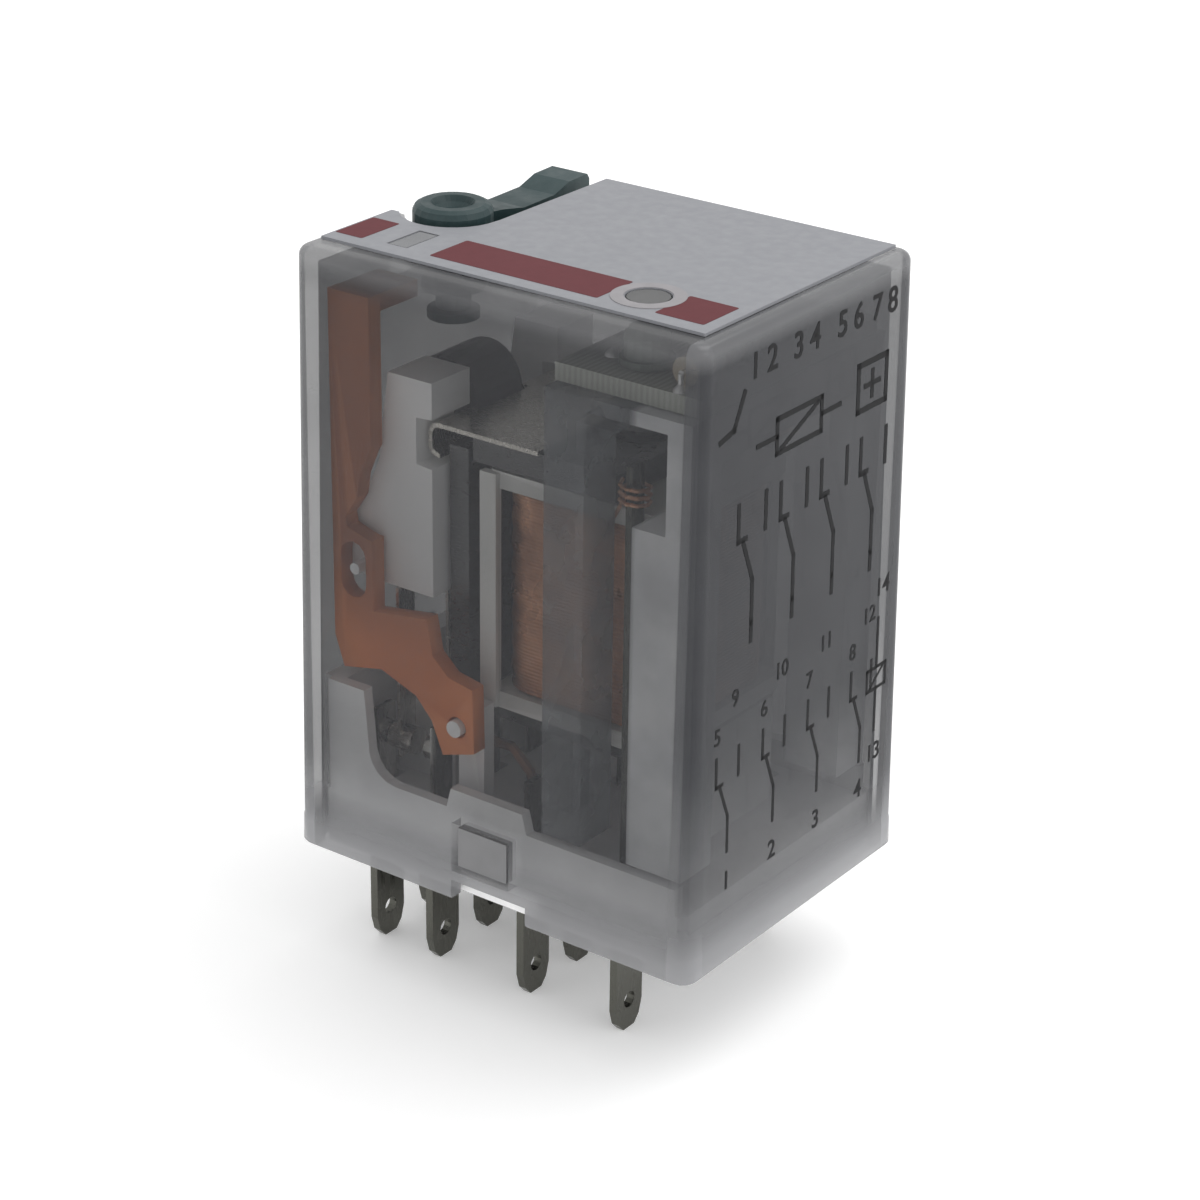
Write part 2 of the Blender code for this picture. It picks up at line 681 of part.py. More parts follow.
def make_test_lever():
    """Round button with a thumb hollow and an arm that lies in the notch."""
    centre = (LEVER_X, LEVER_Y)
    foot, top = HEIGHT - 1.0, HEIGHT + 0.75
    bm = bmesh.new()
    profile = [(LEVER_R - 0.1, foot), (LEVER_R, foot + 0.1), (LEVER_R, top - 0.45)]
    profile += [(LEVER_R - 0.15, top - 0.15), (LEVER_R - 0.45, top), (1.25, top)]
    profile += [(1.0, top - 0.3), (0.6, top - 0.5)]
    turned(bm, centre, profile, sides=24)
    lever = node("test_lever", bm, TEAL, pivot=(*centre, foot))

    low, end = HEIGHT - 1.5, WIDTH - 0.6
    side = [(LEVER_Y + 1.0, foot), (LEVER_Y + 1.0, HEIGHT + 0.1), (12.6, HEIGHT - 0.1)]
    side += [(14.5, HEIGHT - 0.45), (17.3, HEIGHT - 0.4), (18.7, HEIGHT + 0.05)]
    side += [(end - 0.2, HEIGHT + 0.1), (end, HEIGHT - 0.2), (end, low + 0.3), (end - 0.6, low)]
    side += [(LEVER_Y + LEVER_R + 0.5, low + 0.3)]
    half = 1.25
    join(lever, prism, "x", side, (LEVER_X + 0.15 - half, LEVER_X + 0.15 + half))
    cut(lever, rod, "z", centre, 1.15, (foot - 2, foot + 0.65))


def make_test_stem():
    """The plunger under the lever: its collar stops it below the notch floor."""
    floor = HEIGHT - NOTCH_DEPTH
    stop = floor - WALL - CLEAR
    profile = [(1.5, stop - 2.2), (1.5, stop - 1.7), (1.0, stop - 1.6), (1.0, stop - 0.5)]
    profile += [(1.8, stop - 0.5), (1.8, stop), (1.0, stop), (1.0, HEIGHT - 0.5)]
    bm = bmesh.new()
    turned(bm, (LEVER_X, LEVER_Y), profile, sides=16)
    node("test_stem", bm, TEAL, pivot=(LEVER_X, LEVER_Y, stop))


# ---------------------------------------------------------------- build

clear_scene()
RELAY = new_collection("Plug in relay")
HELPERS = new_collection("Helpers")
HELPERS.hide_render = True

CLEAR_PLASTIC = material("clear cover", (0.62, 0.64, 0.66), 0.1, alpha=0.35)
BASE_PLASTIC = material("grey base", (0.35, 0.36, 0.38), 0.45)
FROSTED = material("frosted bracket", (0.55, 0.57, 0.58), 0.4)
PALE_PLASTIC = material("pale block", (0.5, 0.5, 0.5), 0.5)
WHITE_PLASTIC = material("white bobbin", (0.6, 0.6, 0.58), 0.5)
DARK_PLASTIC = material("dark plastic", (0.05, 0.03, 0.04), 0.4)
ORANGE = material("orange rocker", (0.5, 0.16, 0.04), 0.5)
TEAL = material("teal lever", (0.05, 0.2, 0.17), 0.45)
LABEL = material("white label", (0.7, 0.7, 0.72), 0.5)
LENS = material("lens", (0.5, 0.52, 0.52), 0.15)
BOARD = material("light board", (0.35, 0.4, 0.33), 0.5)
CERAMIC = material("resistor", (0.45, 0.4, 0.3), 0.5)
STEEL = material("nickel steel", (0.5, 0.5, 0.5), 0.35, metallic=1.0)
SPRING = material("spring bronze", (0.6, 0.5, 0.38), 0.3, metallic=1.0)
TINNED = material("tinned blade", (0.4, 0.4, 0.38), 0.35, metallic=1.0)
COPPER = material("copper", (0.55, 0.25, 0.12), 0.35, metallic=1.0)

make_cover()
make_base()
make_terminals()
make_braids()
make_armature()
make_spring_block()
make_push_pad()
make_moving_springs()
make_rocker()
make_coil()
make_return_spring()
make_coil_leads()
make_board()
make_label()
make_test_lever()
make_test_stem()
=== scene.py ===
"""Looks of the plug-in relay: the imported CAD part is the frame, and this script
gives every piece its material and builds the fine detail around it.

Sizes are millimetres from the cover's front left bottom corner, as in the CAD
source, and at() turns them into metres about the middle of the seating face.
"""

import math

import bmesh
import bpy
from mathutils import Matrix, Vector


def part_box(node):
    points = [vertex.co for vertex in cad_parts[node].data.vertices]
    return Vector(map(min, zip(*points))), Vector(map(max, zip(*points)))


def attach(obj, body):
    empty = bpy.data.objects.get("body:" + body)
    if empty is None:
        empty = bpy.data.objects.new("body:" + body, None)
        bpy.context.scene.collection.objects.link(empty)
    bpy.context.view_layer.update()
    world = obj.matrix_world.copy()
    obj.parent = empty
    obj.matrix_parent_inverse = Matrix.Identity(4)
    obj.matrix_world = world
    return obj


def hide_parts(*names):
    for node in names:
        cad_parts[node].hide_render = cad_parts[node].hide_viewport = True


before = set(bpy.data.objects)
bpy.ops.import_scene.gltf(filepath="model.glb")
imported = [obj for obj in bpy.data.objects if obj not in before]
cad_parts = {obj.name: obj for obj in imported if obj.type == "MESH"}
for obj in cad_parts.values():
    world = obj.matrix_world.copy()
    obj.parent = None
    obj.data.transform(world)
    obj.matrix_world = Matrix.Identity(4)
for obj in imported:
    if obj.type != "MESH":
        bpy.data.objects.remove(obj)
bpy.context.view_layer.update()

MM = 0.001
LENGTH, WIDTH = 27.5, 21.2
HALF_LENGTH, HALF_WIDTH = LENGTH / 2, WIDTH / 2
BLADE_TIP = -6.7
TOP = 36.0
DRAFT, WALL = 0.42, 0.9
PANE = 1.36  # how far in from the outline a wall of the cover reaches, draft included
LEVER = (3.9, 9.9)
LEVER_R = 2.25
NOTCH_FRONT, NOTCH_RIGHT, NOTCH_GAP = 8.3, 6.6, 0.4
NOTCH_DEPTH = 2.6
COIL = (16.3, 10.6)
WINDING_HALF, WINDING_ROUND = 5.6, 2.2
POLES = [HALF_WIDTH + 4.4 * (pole - 1.5) for pole in range(4)]
PLATE_TOP = TOP + 0.2
LAMP = (20.6, 5.0)
COIL_MARK = 18.3  # where the coil's symbol stands along the printed side


def at(x, y, z):
    return Vector((x - HALF_LENGTH, y - HALF_WIDTH, z)) * MM


# ---------------------------------------------------------------- node helpers


class Shader:
    """A material's node tree, with its Principled shader at hand."""

    def __init__(self, name, colour, roughness, metallic=0.0, **extra):
        self.material = bpy.data.materials.new(name)
        self.material.use_nodes = True
        self.tree = self.material.node_tree
        self.main = self.tree.nodes["Principled BSDF"]
        self.set("Base Color", (*colour, 1.0))
        self.set("Roughness", roughness)
        self.set("Metallic", metallic)
        self.material.diffuse_color = (*colour, 1.0)
        for socket, value in extra.items():
            self.set(socket.replace("_", " "), value)
        self.place = self.node("ShaderNodeTexCoord").outputs["Object"]

    def node(self, kind, **settings):
        made = self.tree.nodes.new(kind)
        for key, value in settings.items():
            setattr(made, key, value)
        return made

    def set(self, socket, value):
        self.main.inputs[socket].default_value = value

    def link(self, source, target):
        self.tree.links.new(source, target)

    def feed(self, socket, source):
        self.link(source, self.main.inputs[socket])

    def noise(self, scale, detail=3.0, stretch=(1, 1, 1)):
        """Noise in millimetre space: scale is cycles per millimetre."""
        mapping = self.node("ShaderNodeMapping")
        mapping.inputs["Scale"].default_value = [1000 * scale * s for s in stretch]
        self.link(self.place, mapping.inputs["Vector"])
        noise = self.node("ShaderNodeTexNoise")
        noise.inputs["Scale"].default_value = 1.0
        noise.inputs["Detail"].default_value = detail
        self.link(mapping.outputs["Vector"], noise.inputs["Vector"])
        return noise.outputs["Fac"]

    def map(self, source, low, high, new_low, new_high):
        ranged = self.node("ShaderNodeMapRange")
        for socket, value in zip(
            ("From Min", "From Max", "To Min", "To Max"), (low, high, new_low, new_high)
        ):
            ranged.inputs[socket].default_value = value
        self.link(source, ranged.inputs["Value"])
        return ranged.outputs["Result"]

    def math(self, operation, a, b=None):
        made = self.node("ShaderNodeMath", operation=operation)
        for socket, value in zip(made.inputs, (a, b)):
            if value is None:
                continue
            if hasattr(value, "default_value"):
                self.link(value, socket)
            else:
                socket.default_value = value
        return made.outputs["Value"]

    def fold(self, operation, first, *rest):
        for value in rest:
            first = self.math(operation, first, value)
        return first

    def plus(self, *values):
        return self.fold("ADD", *values)

    def times(self, *values):
        return self.fold("MULTIPLY", *values)

    def most(self, *values):
        return self.fold("MAXIMUM", *values)

    def mix(self, factor, a, b):
        """Colours a and b mixed by the factor."""
        mixed = self.node("ShaderNodeMix", data_type="RGBA")
        self.link(factor, mixed.inputs["Factor"])
        for socket, value in ((mixed.inputs[6], a), (mixed.inputs[7], b)):
            if hasattr(value, "default_value"):
                self.link(value, socket)
            else:
                socket.default_value = (*value, 1.0)
        return mixed.outputs[2]

    def bump(self, height, distance, strength=1.0):
        made = self.node("ShaderNodeBump")
        made.inputs["Strength"].default_value = strength
        made.inputs["Distance"].default_value = distance * MM
        self.link(height, made.inputs["Height"])
        self.feed("Normal", made.outputs["Normal"])

    def axis(self, name):
        split = self.node("ShaderNodeSeparateXYZ")
        self.link(self.place, split.inputs["Vector"])
        return split.outputs[name]

    def edges(self, sharp=0.6):
        """1 along the edges that stand out."""
        geometry = self.node("ShaderNodeNewGeometry")
        return self.map(geometry.outputs["Pointiness"], 0.5, sharp, 0, 1)

    def where(self, axis, low, high):
        """1 where the object coordinate lies between two millimetre values."""
        place = self.axis(axis)
        above = self.math("GREATER_THAN", place, low * MM)
        return self.times(above, self.math("LESS_THAN", place, high * MM))

    def beyond(self, axis, distance):
        """1 further out than the distance on either side of the middle."""
        away = self.math("ABSOLUTE", self.axis(axis))
        return self.math("GREATER_THAN", away, distance * MM)

    def rough(self, scale, low, high, detail=3.0):
        """Roughness that wanders between two values."""
        self.feed("Roughness", self.map(self.noise(scale, detail), 0.3, 0.7, low, high))

    def worn(self, colour, lighter):
        """The colour, cloudy, and painted lighter along its edges as a highlight."""
        cloud = self.map(self.noise(0.35), 0.35, 0.7, 0, 0.35)
        # painted highlight: the edges mixed to the lighter colour
        self.feed("Base Color", self.mix(self.most(self.edges(), cloud), colour, lighter))


def paler(colour, factor, offset=0.0):
    return [min(1.0, factor * c + offset) for c in colour]


def moulded(name, colour, roughness=0.45):
    """Moulded plastic: fine grain, faint cloudiness, edges painted lighter as a highlight."""
    shader = Shader(name, colour, roughness)
    shader.worn(colour, paler(colour, 1.35, 0.02))
    shader.rough(1.2, roughness - 0.07, roughness + 0.08)
    shader.bump(shader.noise(9.0, 4.0), 0.012, 0.6)
    return shader.material


def metal(name, colour, dark, roughness=0.3, stretch=(1, 1, 1), inside=None):
    """Plated metal: rolled grain, tarnish, edges painted bright as a highlight; inside is its
    colour in the cover, painted bright as the glint of the silver contacts.
    """
    shader = Shader(name, colour, roughness, metallic=1.0)
    grain = shader.noise(2.5, 5.0, stretch)
    tarnish = shader.map(shader.noise(0.5, 4.0), 0.4, 0.65, 0, 1)
    body = shader.mix(tarnish, colour, dark)
    # painted glint: the blade painted bright silver inside the cover
    if inside:
        body = shader.mix(shader.where("Z", 0.2, TOP), body, inside)
    # painted highlight: the edges mixed to a paler colour
    shader.feed("Base Color", shader.mix(shader.edges(0.58), body, paler(colour, 1.5)))
    shader.feed("Roughness", shader.map(grain, 0.3, 0.7, roughness - 0.08, roughness + 0.15))
    shader.bump(grain, 0.01, 0.5)
    return shader.material


# ---------------------------------------------------------------- mesh helpers


def arc(centre, radius, start, end, steps):
    angles = (math.radians(start + (end - start) * i / steps) for i in range(steps + 1))
    return [(centre[0] + radius * math.cos(a), centre[1] + radius * math.sin(a)) for a in angles]


def rounded(x, y, radius, steps=8):
    points = []
    for corner_x, corner_y, start in ((1, 1, 0), (0, 1, 90), (0, 0, 180), (1, 0, 270)):
        centre = (
            x[corner_x] - radius * (2 * corner_x - 1),
            y[corner_y] - radius * (2 * corner_y - 1),
        )
        points += arc(centre, radius, start, start + 90, steps)
    return points


def loft(bm, rings, closed=True):
    rows = [[bm.verts.new(point) for point in ring] for ring in rings]
    if closed:
        bm.faces.new(rows[0])
        bm.faces.new(rows[-1])
    for low, high in zip(rows, rows[1:]):
        for i in range(len(low)):
            bm.faces.new((low[i - 1], low[i], high[i], high[i - 1]))


def lift(axis, pair, along):
    a, b = pair
    return Vector({"x": (along, a, b), "y": (a, along, b), "z": (a, b, along)}[axis])


def prism(bm, axis, outline, span):
    loft(bm, [[lift(axis, pair, value) for pair in outline] for value in span])


def box(bm, x, y, z):
    prism(bm, "z", [(x[0], y[0]), (x[1], y[0]), (x[1], y[1]), (x[0], y[1])], z)


def rod(bm, axis, centre, radius, span, sides=32):
    prism(bm, axis, arc(centre, radius, 0, 360 * (1 - 1 / sides), sides - 1), span)


def turned(bm, centre, profile, sides):
    rings = []
    for radius, z in profile:
        circle = arc(centre, radius, 0, 360 * (1 - 1 / sides), sides - 1)
        rings.append([(x, y, z) for x, y in circle])
    loft(bm, rings)


def finish_mesh(name, bm):
    """The object, its points moved from corner millimetres to metres."""
    bmesh.ops.recalc_face_normals(bm, faces=bm.faces)
    bmesh.ops.translate(bm, verts=bm.verts, vec=(-HALF_LENGTH, -HALF_WIDTH, 0))
    bmesh.ops.scale(bm, verts=bm.verts, vec=(MM, MM, MM))
    mesh = bpy.data.meshes.new(name)
    bm.to_mesh(mesh)
    bm.free()
    obj = bpy.data.objects.new(name, mesh)
    bpy.context.scene.collection.objects.link(obj)
    return obj


def shape(name, kind, *args, **kwargs):
    bm = bmesh.new()
    kind(bm, *args, **kwargs)
    return finish_mesh(name, bm)


def carve(obj, kind, *args, operation="DIFFERENCE", **kwargs):
    """Cuts or joins one primitive, at once."""
    tool = shape("tool", kind, *args, **kwargs)
    apply_boolean(obj, tool, operation)


def apply_boolean(obj, tool, operation="DIFFERENCE"):
    modifier = obj.modifiers.new("Boolean", "BOOLEAN")
    modifier.operation, modifier.solver, modifier.object = operation, "EXACT", tool
    graph = bpy.context.evaluated_depsgraph_get()
    made = bpy.data.meshes.new_from_object(obj.evaluated_get(graph))
    obj.modifiers.clear()
    obj.data = made
    bpy.data.objects.remove(tool, do_unlink=True)


def soften(obj, width, segments=2, angle=35):
    """Rounded edges and smooth shading between them."""
    bevel = obj.modifiers.new("Bevel", "BEVEL")
    bevel.width = width * MM
    bevel.segments = segments
    bevel.limit_method = "ANGLE"
    bevel.angle_limit = math.radians(angle)
    bevel.harden_normals = True
    obj.data.shade_smooth()


def dress(obj, material):
    obj.data.materials.clear()
    obj.data.materials.append(material)


def piece(obj, material, body="housing", replaces=()):
    """A finished piece: its material, its body and what it stands for."""
    if material:
        dress(obj, material)
    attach(obj, body)
    if replaces:
        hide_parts(*replaces)
    return obj


# ---------------------------------------------------------------- materials


def clear_plastic(name, specular):
    """Smoky clear plastic: milky along its foot, denser on its printed side; its back and left
    walls and the band under its top denser as painted shade; its top edge lighter as painted
    highlight and its grazing faces lighter as painted reflection.
    """
    shader = Shader(name, (0.04, 0.042, 0.046), 0.12, IOR=1.5)
    shader.set("Specular IOR Level", specular)
    facing = shader.node("ShaderNodeLayerWeight")
    facing.inputs["Blend"].default_value = 0.3
    # rim: grazing faces grow denser, which is real, and their colour is painted lighter as a
    # reflection
    rim = shader.map(facing.outputs["Facing"], 0.5, 1.0, 0.0, 0.3)

    height = shader.axis("Z")
    on_side = shader.where("X", HALF_LENGTH - PANE, LENGTH)
    printed = shader.times(on_side, shader.map(height, 6 * MM, 15 * MM, 0.1, 0.42))
    # painted shade: the left and back walls and the band under the top made denser, darkening
    # the inside
    left = shader.times(shader.where("X", -LENGTH, PANE - HALF_LENGTH), 0.3)
    back = shader.times(shader.where("Y", HALF_WIDTH - PANE, WIDTH), 0.22)
    crown = shader.map(height, (TOP - 2.4) * MM, (TOP - 1.2) * MM, 0.0, 0.16)
    skirt = shader.map(height, 0.2 * MM, 3.4 * MM, 0.42, 0.0)
    corner = shader.times(
        shader.beyond("X", HALF_LENGTH - 1.45), shader.beyond("Y", HALF_WIDTH - 1.45), 0.06
    )
    far_corner = shader.times(on_side, shader.where("Y", HALF_WIDTH - 1.6, WIDTH), 0.3)
    haze = shader.map(shader.noise(0.1, 2.0), 0.3, 0.7, 0.31, 0.38)
    walls = shader.most(printed, back, left, crown)
    alpha = shader.plus(haze, rim, walls, skirt, corner, far_corner)
    shader.feed("Alpha", shader.math("MINIMUM", alpha, 0.93))

    smoke = shader.mix(shader.noise(0.25), (0.03, 0.031, 0.036), (0.05, 0.052, 0.058))
    foot_milk = shader.map(height, 1.5 * MM, 6.0 * MM, 1.0, 0.0)
    # painted highlight: the rounded top edge lighter
    top_edge_highlight = shader.map(height, (TOP - 1.5) * MM, (TOP - 0.4) * MM, 0.0, 0.5)
    side_milk = shader.times(on_side, shader.map(height, 2 * MM, 12 * MM, 0.3, 0.0))
    # the milky foot and side, with the painted highlight of the top edge
    milk_and_highlight = shader.most(foot_milk, top_edge_highlight, side_milk)
    milky = shader.mix(milk_and_highlight, smoke, (0.3, 0.302, 0.312))
    # painted reflection: grazing faces mixed to a lighter grey
    shader.feed("Base Color", shader.mix(rim, milky, (0.3, 0.305, 0.31)))
    shader.rough(0.8, 0.08, 0.2, 4.0)
    shader.bump(shader.noise(0.25, 2.0), 0.03, 0.5)
    return shader.material


def frosted_plastic(name, colour, alpha, bare):
    """Milky plastic, its edges painted lighter as a highlight; bare is its colour where no cover
    lies over it, far darker than under the cover, so the two tones are painted light and shade.
    """
    shader = Shader(name, colour, 0.4)
    cloud = shader.map(shader.noise(0.35), 0.35, 0.7, 0, 0.35)
    # painted highlight: the edges mixed to the paler tone
    tone = shader.mix(shader.most(shader.edges(), cloud), colour, paler(colour, 1.25))
    latches = shader.beyond("Y", HALF_WIDTH - 0.86)
    outside = shader.most(latches, shader.where("Z", -1, 0.02))
    # painted light and shade: pale under the cover, the dark bare colour on the latches and
    # underside
    shader.feed("Base Color", shader.mix(outside, tone, bare))
    density = shader.map(shader.noise(0.4), 0.3, 0.7, alpha - 0.06, alpha + 0.06)
    shader.feed("Alpha", density)
    shader.rough(1.2, 0.33, 0.48)
    shader.bump(shader.noise(6.0), 0.01, 0.5)
    return shader.material


def orange_moulding():
    """Orange plastic, its thin upper arm painted darker than its broad foot as shade, its edges
    painted lighter as a highlight.
    """
    shader = Shader("orange_moulding", (0.62, 0.16, 0.04), 0.5)
    edge = shader.edges()
    # painted highlight: the edges mixed to a lighter orange
    foot = shader.mix(edge, (0.64, 0.17, 0.035), (0.8, 0.26, 0.08))
    arm = shader.mix(edge, (0.33, 0.1, 0.035), (0.5, 0.17, 0.06))
    # painted shade: darker upward from 13 mm, where the rocker lies in shade
    up = shader.map(shader.axis("Z"), 13 * MM, 19 * MM, 0, 1)
    shader.feed("Base Color", shader.mix(up, foot, arm))
    shader.rough(1.2, 0.42, 0.58)
    shader.bump(shader.noise(9.0, 4.0), 0.012, 0.6)
    return shader.material


def frosted_bracket():
    """Frosted plastic: its post by the coil thinner and darker than its end wall."""
    shader = Shader("frosted_bracket", (0.8, 0.82, 0.84), 0.4)
    end_wall = shader.map(shader.axis("X"), 8.2 * MM, 8.8 * MM, 0.0, 1.0)
    cloud = shader.map(shader.noise(0.3), 0.35, 0.65, 0, 1)
    post = shader.mix(cloud, (0.2, 0.21, 0.22), (0.34, 0.36, 0.38))
    wall = shader.mix(cloud, (0.8, 0.81, 0.83), (0.95, 0.96, 0.97))
    shader.feed("Base Color", shader.mix(end_wall, post, wall))
    thin = shader.map(shader.noise(0.4), 0.3, 0.7, 0.42, 0.54)
    shader.feed("Alpha", shader.plus(thin, shader.times(end_wall, 0.34)))
    shader.bump(shader.noise(1.5), 0.02, 0.5)
    return shader.material


def printed_plate():
    """Matt white plate with faint handling marks."""
    shader = Shader("white_plate", (0.3, 0.3, 0.31), 0.42)
    shader.set("Specular IOR Level", 0.3)
    tone = shader.mix(shader.noise(0.22, 4.0), (0.25, 0.256, 0.277), (0.27, 0.275, 0.295))
    shader.feed("Base Color", tone)
    shader.rough(1.5, 0.34, 0.5, 4.0)
    shader.bump(shader.noise(5.0, 4.0), 0.008, 0.5)
    return shader.material


def ink(name, colour):
    shader = Shader(name, colour, 0.5)
    shader.set("Specular IOR Level", 0.1)
    shader.feed("Base Color", shader.mix(shader.noise(1.5, 4.0), colour, paler(colour, 1.25)))
    shader.bump(shader.noise(12.0, 3.0), 0.006, 0.5)
    return shader.material


def enamelled_wire():
    """Copper turns under varnish, their tone wandering in patches."""
    shader = Shader("enamelled_wire", (0.35, 0.13, 0.05), 0.3, metallic=0.6)
    shader.set("Coat Weight", 0.5)
    shade = shader.map(shader.noise(0.25, 4.0), 0.35, 0.65, 0, 1)
    shader.feed("Base Color", shader.mix(shade, (0.3, 0.13, 0.07), (0.8, 0.42, 0.24)))
    shader.rough(0.6, 0.22, 0.42)
    shader.bump(shader.noise(3.0, 3.0, (0.2, 0.2, 4)), 0.01, 0.5)
    return shader.material


def woven_copper():
    """Fine copper braid, its strands crossing at a slant."""
    shader = Shader("woven_copper", (0.45, 0.2, 0.1), 0.35, metallic=1.0)
    wave = shader.node("ShaderNodeTexWave", bands_direction="DIAGONAL")
    wave.inputs["Scale"].default_value = 4200
    shader.link(shader.place, wave.inputs["Vector"])
    tone = shader.mix(wave.outputs["Fac"], (0.2, 0.08, 0.04), (0.5, 0.24, 0.13))
    shader.feed("Base Color", tone)
    shader.bump(wave.outputs["Fac"], 0.04, 0.7)
    return shader.material


def board_laminate():
    """Pale green laminate with a woven ground."""
    shader = Shader("board_laminate", (0.5, 0.53, 0.46), 0.45)
    wave = shader.node("ShaderNodeTexWave", bands_direction="X")
    wave.inputs["Scale"].default_value = 900
    wave.inputs["Distortion"].default_value = 1.0
    shader.link(shader.place, wave.inputs["Vector"])
    tone = shader.mix(wave.outputs["Fac"], (0.5, 0.52, 0.46), (0.62, 0.64, 0.58))
    shader.feed("Base Color", tone)
    shader.bump(wave.outputs["Fac"], 0.01, 0.4)
    return shader.material


def lens_plastic(name, colour, alpha):
    shader = Shader(name, colour, 0.12, Coat_Weight=0.4)
    shader.feed("Base Color", shader.mix(shader.noise(0.8), colour, paler(colour, 1.2)))
    density = shader.map(shader.noise(0.5), 0.3, 0.7, alpha - 0.05, alpha + 0.05)
    shader.feed("Alpha", density)
    return shader.material


MAT = {
    "clear": clear_plastic("clear_cover", 0.45),
    "clear_side": clear_plastic("clear_printed_side", 0.3),
    # painted light and shade: pale under the cover, dark where bare
    "base": frosted_plastic("grey_base", (0.86, 0.86, 0.88), 0.94, bare=(0.2, 0.2, 0.205)),
    "bracket": frosted_bracket(),
    "block": moulded("pale_block", (0.84, 0.85, 0.85)),
    "bobbin": moulded("white_bobbin", (0.6, 0.6, 0.58)),
    "dark": moulded("dark_moulding", (0.03, 0.024, 0.026), 0.35),
    "orange": orange_moulding(),
    "teal": moulded("teal_moulding", (0.002, 0.022, 0.024), 0.5),
    "plate": printed_plate(),
    "red": ink("red_print", (0.112, 0.026, 0.031)),
    "black": ink("black_print", (0.012, 0.012, 0.013)),
    "white_ink": ink("white_print", (0.28, 0.27, 0.28)),
    "lens": lens_plastic("clear_lens", (0.02, 0.021, 0.022), 0.78),
    "window": lens_plastic("grey_window", (0.09, 0.095, 0.105), 0.88),
    "led": lens_plastic("led_lens", (0.3, 0.34, 0.3), 0.8),
    "board": board_laminate(),
    "lacquer": moulded("beige_lacquer", (0.45, 0.38, 0.25), 0.3),
    "steel": metal("nickel_steel", (0.1, 0.1, 0.1), (0.03, 0.03, 0.03), 0.3, (1, 1, 6)),
    "spring": metal("spring_bronze", (0.5, 0.48, 0.44), (0.25, 0.22, 0.2), 0.22, (1, 6, 1)),
    "blade": metal(
        "plated_blade",
        (0.08, 0.08, 0.07),
        (0.028, 0.028, 0.024),
        0.26,
        (1, 1, 0.2),
        # painted glint: the bright colour of the blades inside the cover
        inside=(0.85, 0.84, 0.8),
    ),
    "silver": metal("silver_contact", (0.75, 0.74, 0.7), (0.45, 0.44, 0.4), 0.22),
    "solder": metal("solder", (0.95, 0.95, 0.93), (0.85, 0.85, 0.83), 0.4),
    "wire": enamelled_wire(),
    "braid": woven_copper(),
}

NODE_LOOKS = {
    "base": ("base", 0.12),
    "board_bracket": ("bracket", 0.15),
    "spring_block": ("block", 0.15),
    "bobbin": ("bobbin", 0.12),
    "push_pad": ("dark", 0.2),
    "test_stem": ("teal", 0.08),
    "light_board": ("board", 0.06),
    "armature": ("steel", 0.12),
    "yoke": ("steel", 0.12),
    "core": ("steel", 0.08),
    "pole_shoe": ("steel", 0.12),
    "return_spring": ("spring", 0.04),
    "coil_lead_1": ("wire", 0),
    "coil_lead_2": ("wire", 0),
    "diode": ("dark", 0.12),
}
for pole in range(1, 5):
    NODE_LOOKS[f"nc_terminal_{pole}"] = ("blade", 0.07)
    NODE_LOOKS[f"no_terminal_{pole}"] = ("blade", 0.07)
    NODE_LOOKS[f"com_terminal_{pole}"] = ("blade", 0.07)
    NODE_LOOKS[f"moving_spring_{pole}"] = ("spring", 0.03)
    NODE_LOOKS[f"braid_{pole}"] = ("braid", 0)
NODE_LOOKS["coil_terminal_1"] = NODE_LOOKS["coil_terminal_2"] = ("blade", 0.07)


def dress_frame():
    for name, (look, edge) in NODE_LOOKS.items():
        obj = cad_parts[name]
        dress(obj, MAT[look])
        if edge:
            soften(obj, edge)
        else:
            obj.data.shade_smooth()


# ---------------------------------------------------------------- cover


def cover_ring(inset, radius, z):
    x, y = (inset, LENGTH - inset), (inset, WIDTH - inset)
    return [(a, b, z) for a, b in rounded(x, y, radius)]


def notch_outline(extra):
    front, radius = NOTCH_FRONT - extra, LEVER_R + NOTCH_GAP + extra
    right = NOTCH_RIGHT + extra
    start = 180 + math.degrees(math.asin((LEVER[1] - front) / radius))
    round_part = arc(LEVER, radius, start, 359, 24)
    back = WIDTH + 1
    return [(-1, front), *round_part, (right, LEVER[1] + 0.3), (right, back), (-1, back)]


